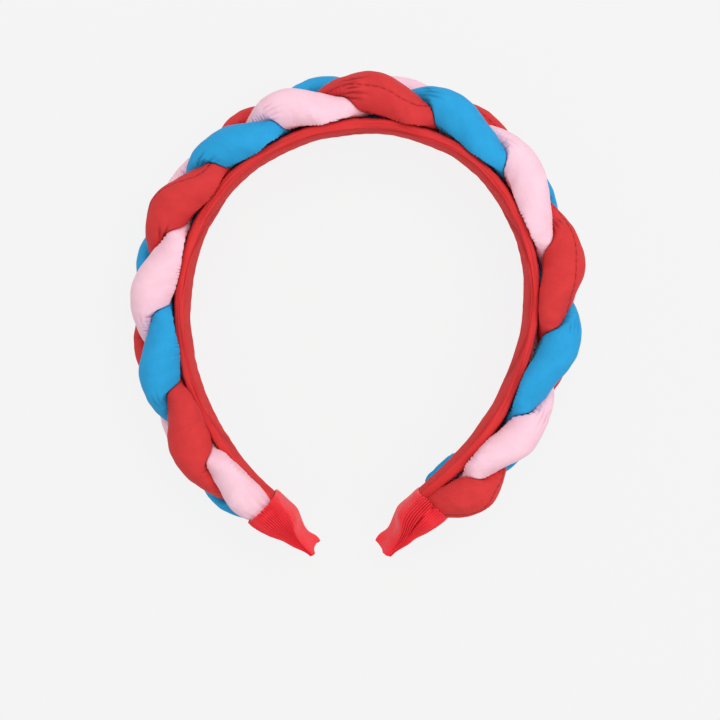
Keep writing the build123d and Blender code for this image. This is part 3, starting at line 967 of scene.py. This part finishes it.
def makeWeaveGroup():
    # woven threads and the slight mottling of dyed cloth, from the piece's own map
    group, entry, leave = groupWith("woven cloth", "ShaderNodeTree", {
        "Vector": "Vector", "Light Colour": "Color", "Dark Colour": "Color", "Threads": "Float",
        "Mottle Scale": "Float", "Smoothest": "Float", "Roughest": "Float", "Wrinkles": "Float",
    }, {"Colour": "Color", "Height": "Float", "Roughness": "Float"})
    given = entry.outputs
    waves = [
        nodeIn(group, "ShaderNodeTexWave", {
            "Vector": given["Vector"], "Scale": given["Threads"], "Distortion": 0.6, "Detail": 1.0,
        }, wave_type="BANDS", bands_direction=direction).outputs["Fac"]
        for direction in ("X", "Y")
    ]
    over = mathIn(group, "MULTIPLY", *waves)
    mottle = nodeIn(group, "ShaderNodeTexNoise", {
        "Vector": given["Vector"], "Scale": given["Mottle Scale"], "Detail": 4.0, "Roughness": 0.6,
    }).outputs["Fac"]
    share = mathIn(group, "MULTIPLY_ADD", over, 0.25, mottle)
    ramp = nodeIn(group, "ShaderNodeMapRange", {"Value": share, "From Min": 0.35, "From Max": 0.85})
    mix = nodeIn(group, "ShaderNodeMix", {
        0: ramp.outputs["Result"], 6: given["Dark Colour"], 7: given["Light Colour"],
    }, data_type="RGBA")
    # fine wrinkles, longer across the strand than along it
    stretch = nodeIn(group, "ShaderNodeMapping", {"Vector": given["Vector"], "Scale": (1.0, 0.45, 1.0)})
    wrinkle = nodeIn(group, "ShaderNodeTexNoise", {
        "Vector": stretch.outputs["Vector"], "Scale": 34.0, "Detail": 3.0, "Distortion": 0.4,
    })
    folds = mathIn(group, "MULTIPLY", wrinkle.outputs["Fac"], given["Wrinkles"])
    rough = nodeIn(group, "ShaderNodeMapRange", {
        "Value": mottle, "To Min": given["Smoothest"], "To Max": given["Roughest"],
    })
    feed(group, leave, {
        "Colour": mix.outputs[2], "Height": mathIn(group, "MULTIPLY_ADD", over, 0.5, folds),
        "Roughness": rough.outputs["Result"],
    })
    return group


paddedCloth = {
    "threads": 75, "mottle": 14, "bump": 0.5, "rough": (0.62, 0.8), "wrinkles": 3.0, "sheen": 0.02,
    "specular": 0.12,
}

# light and dark are the cloth's own tones; hollow is the colour of the shade painted into its folds,
# creases and grooves, with the share of it that is painted at most
clothLooks = {
    "pink": {
        **paddedCloth, "light": (0.96, 0.625, 0.72), "dark": (0.91, 0.555, 0.66),
        "hollow": (0.62, 0.24, 0.36), "paintedShadeShare": 0.55, "sheen": 0.06, "specular": 0.15,
    },
    "red": {
        **paddedCloth, "light": (0.70, 0.046, 0.046), "dark": (0.60, 0.035, 0.037),
        "hollow": (0.16, 0.004, 0.012), "paintedShadeShare": 0.7,
    },
    "blue": {
        **paddedCloth, "light": (0.028, 0.37, 0.71), "dark": (0.020, 0.32, 0.64),
        "hollow": (0.004, 0.08, 0.22), "paintedShadeShare": 0.65,
    },
    "band": {
        "light": (0.74, 0.050, 0.050), "dark": (0.64, 0.036, 0.038), "hollow": (0.26, 0.006, 0.012),
        "paintedShadeShare": 0.55, "sheen": 0.0, "specular": 0.03,
        "threads": 110, "mottle": 8, "bump": 0.35, "rough": (0.62, 0.8), "wrinkles": 2.0,
    },
    "ribbon": {
        "light": (0.95, 0.035, 0.050), "dark": (0.86, 0.028, 0.040), "hollow": (0.26, 0.003, 0.012),
        "paintedShadeShare": 0.75, "sheen": 0.0, "specular": 0.2,
        "threads": 110, "mottle": 18, "bump": 0.2, "rough": (0.34, 0.5), "wrinkles": 0.5,
    },
    "thread": {
        "light": (0.42, 0.014, 0.022), "dark": (0.34, 0.010, 0.018), "hollow": (0.1, 0.002, 0.005),
        "paintedShadeShare": 0.0, "sheen": 0.0, "specular": 0.2,
        "threads": 400, "mottle": 20, "bump": 0.2, "rough": (0.5, 0.7), "wrinkles": 0.0,
    },
}

weaveGroup = makeWeaveGroup()


def clothMaterial(name, look, hollow="paintedShade"):
    material = bpy.data.materials.new(name)
    material.use_nodes = True
    tree = material.node_tree
    smoothest, roughest = look["rough"]
    weave = nodeIn(tree, "ShaderNodeGroup", node_tree=weaveGroup)
    feed(tree, weave, {
        "Vector": nodeIn(tree, "ShaderNodeUVMap", uv_map="clothMap").outputs["UV"],
        "Light Colour": (*look["light"], 1), "Dark Colour": (*look["dark"], 1),
        "Threads": look["threads"], "Mottle Scale": look["mottle"],
        "Smoothest": smoothest, "Roughest": roughest, "Wrinkles": look["wrinkles"],
    })
    bump = nodeIn(tree, "ShaderNodeBump", {
        "Strength": look["bump"], "Distance": 0.0002, "Height": weave.outputs["Height"],
    })
    # shade is painted into the folds, creases and grooves, as much as the hollow attribute says
    depth = nodeIn(tree, "ShaderNodeAttribute", attribute_name=hollow)
    mix = nodeIn(tree, "ShaderNodeMix", {
        0: mathIn(tree, "MULTIPLY", depth.outputs["Fac"], look["paintedShadeShare"], use_clamp=True),
        6: weave.outputs["Colour"], 7: (*look["hollow"], 1),
    }, data_type="RGBA")
    feed(tree, tree.nodes["Principled BSDF"], {
        "Base Color": mix.outputs[2], "Roughness": weave.outputs["Roughness"],
        "Normal": bump.outputs["Normal"], "Sheen Weight": look["sheen"], "Sheen Roughness": 0.4,
        "Specular IOR Level": look["specular"],
    })
    return material


print("braided headband: strands")
for strand, colour in enumerate(strandNames):
    cover = makeStrand(strand)
    cover.data.materials.append(clothMaterial("padded " + colour + " cloth", clothLooks[colour]))
    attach(cover, "root")
    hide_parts("strand_" + colour)

print("braided headband: seam")
stitches = makeSeam(clothMaterial("dark red thread", clothLooks["thread"]))
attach(stitches, "root")

print("braided headband: band")
bandCover = makeBand()
bandCover.data.materials.append(clothMaterial("red satin", clothLooks["band"]))
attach(bandCover, "root")
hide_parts("inner_band")

print("braided headband: wraps")
# the ribbon's grooves and lap gap get painted shade from the groove attribute
ribbonMaterial = clothMaterial("red ribbed ribbon", clothLooks["ribbon"], hollow="groove")
ribTree = makeRibTree()
for side in ("left", "right"):
    wrap = makeWrap(side, ribTree, ribbonMaterial)
    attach(wrap, "root")
    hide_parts("end_wrap_" + side)

studio = {
    "floorReach": 3.0,
    "floorDrop": 0.0002,  # keeps the floor clear of the cloth that lies on it
    "floorColour": (0.05, 0.05, 0.05, 1),
    "floorGlow": 0.853,
    "sky": 0.60,
    # name, place, aim, size, power
    "lamps": [
        ("key", (0.15, 0.35, 1.05), (0, 0, 0.02), 0.9, 6.4),
        ("fill", (0.7, -0.1, 0.9), (0, 0, 0.02), 0.9, 2.4),
    ],
}


def makeFloor():
    mesh = bpy.data.meshes.new("floor")
    reach = studio["floorReach"]
    corners = [(-reach, -reach, 0), (reach, -reach, 0), (reach, reach, 0), (-reach, reach, 0)]
    mesh.from_pydata(corners, [], [(0, 1, 2, 3)])
    floor = placeObject("floor", mesh)
    floor.location.z = -studio["floorDrop"]
    material = bpy.data.materials.new("pale floor")
    material.use_nodes = True
    feed(material.node_tree, material.node_tree.nodes["Principled BSDF"], {
        "Base Color": studio["floorColour"], "Roughness": 0.9, "Specular IOR Level": 0.0,
        "Emission Color": (1, 1, 1, 1), "Emission Strength": studio["floorGlow"],
    })
    mesh.materials.append(material)


def makeLight():
    for name, place, target, size, power in studio["lamps"]:
        lamp = bpy.data.lights.new(name, "AREA")
        lamp.size, lamp.energy = size, power
        thing = placeObject(name, lamp)
        thing.location = place
        thing.rotation_euler = (Vector(target) - thing.location).to_track_quat("-Z", "Y").to_euler()
    world = bpy.data.worlds.new("studio")
    world.use_nodes = True
    background = world.node_tree.nodes["Background"]
    feed(world.node_tree, background, {"Color": (1, 1, 1, 1), "Strength": studio["sky"]})
    bpy.context.scene.world = world


cameraView = {
    "target": (1.25, -21.4, middleHeight),
    "distance": 640.0,
    "tilt": 4.0,  # degrees off the vertical
    "scale": 0.3756,  # millimetres to a pixel at the target
    "picture": 720,  # pixels
    "sensor": 36.0,
}


def makeCamera():
    camera = bpy.data.cameras.new("camera")
    camera.sensor_width = cameraView["sensor"]
    distance, scale = cameraView["distance"], cameraView["scale"]
    camera.lens = cameraView["sensor"] * distance / scale / cameraView["picture"]
    camera.clip_start, camera.clip_end = 0.01, 20
    thing = placeObject("camera", camera)
    tilt = math.radians(cameraView["tilt"])
    eye = Vector(cameraView["target"]) + Vector((0, math.sin(tilt), math.cos(tilt))) * distance
    thing.location = eye * millimetre
    thing.rotation_euler = (-tilt, 0, 0)
    bpy.context.scene.camera = thing


makeFloor()
makeLight()
makeCamera()
bpy.context.scene.view_settings.view_transform = "Standard"
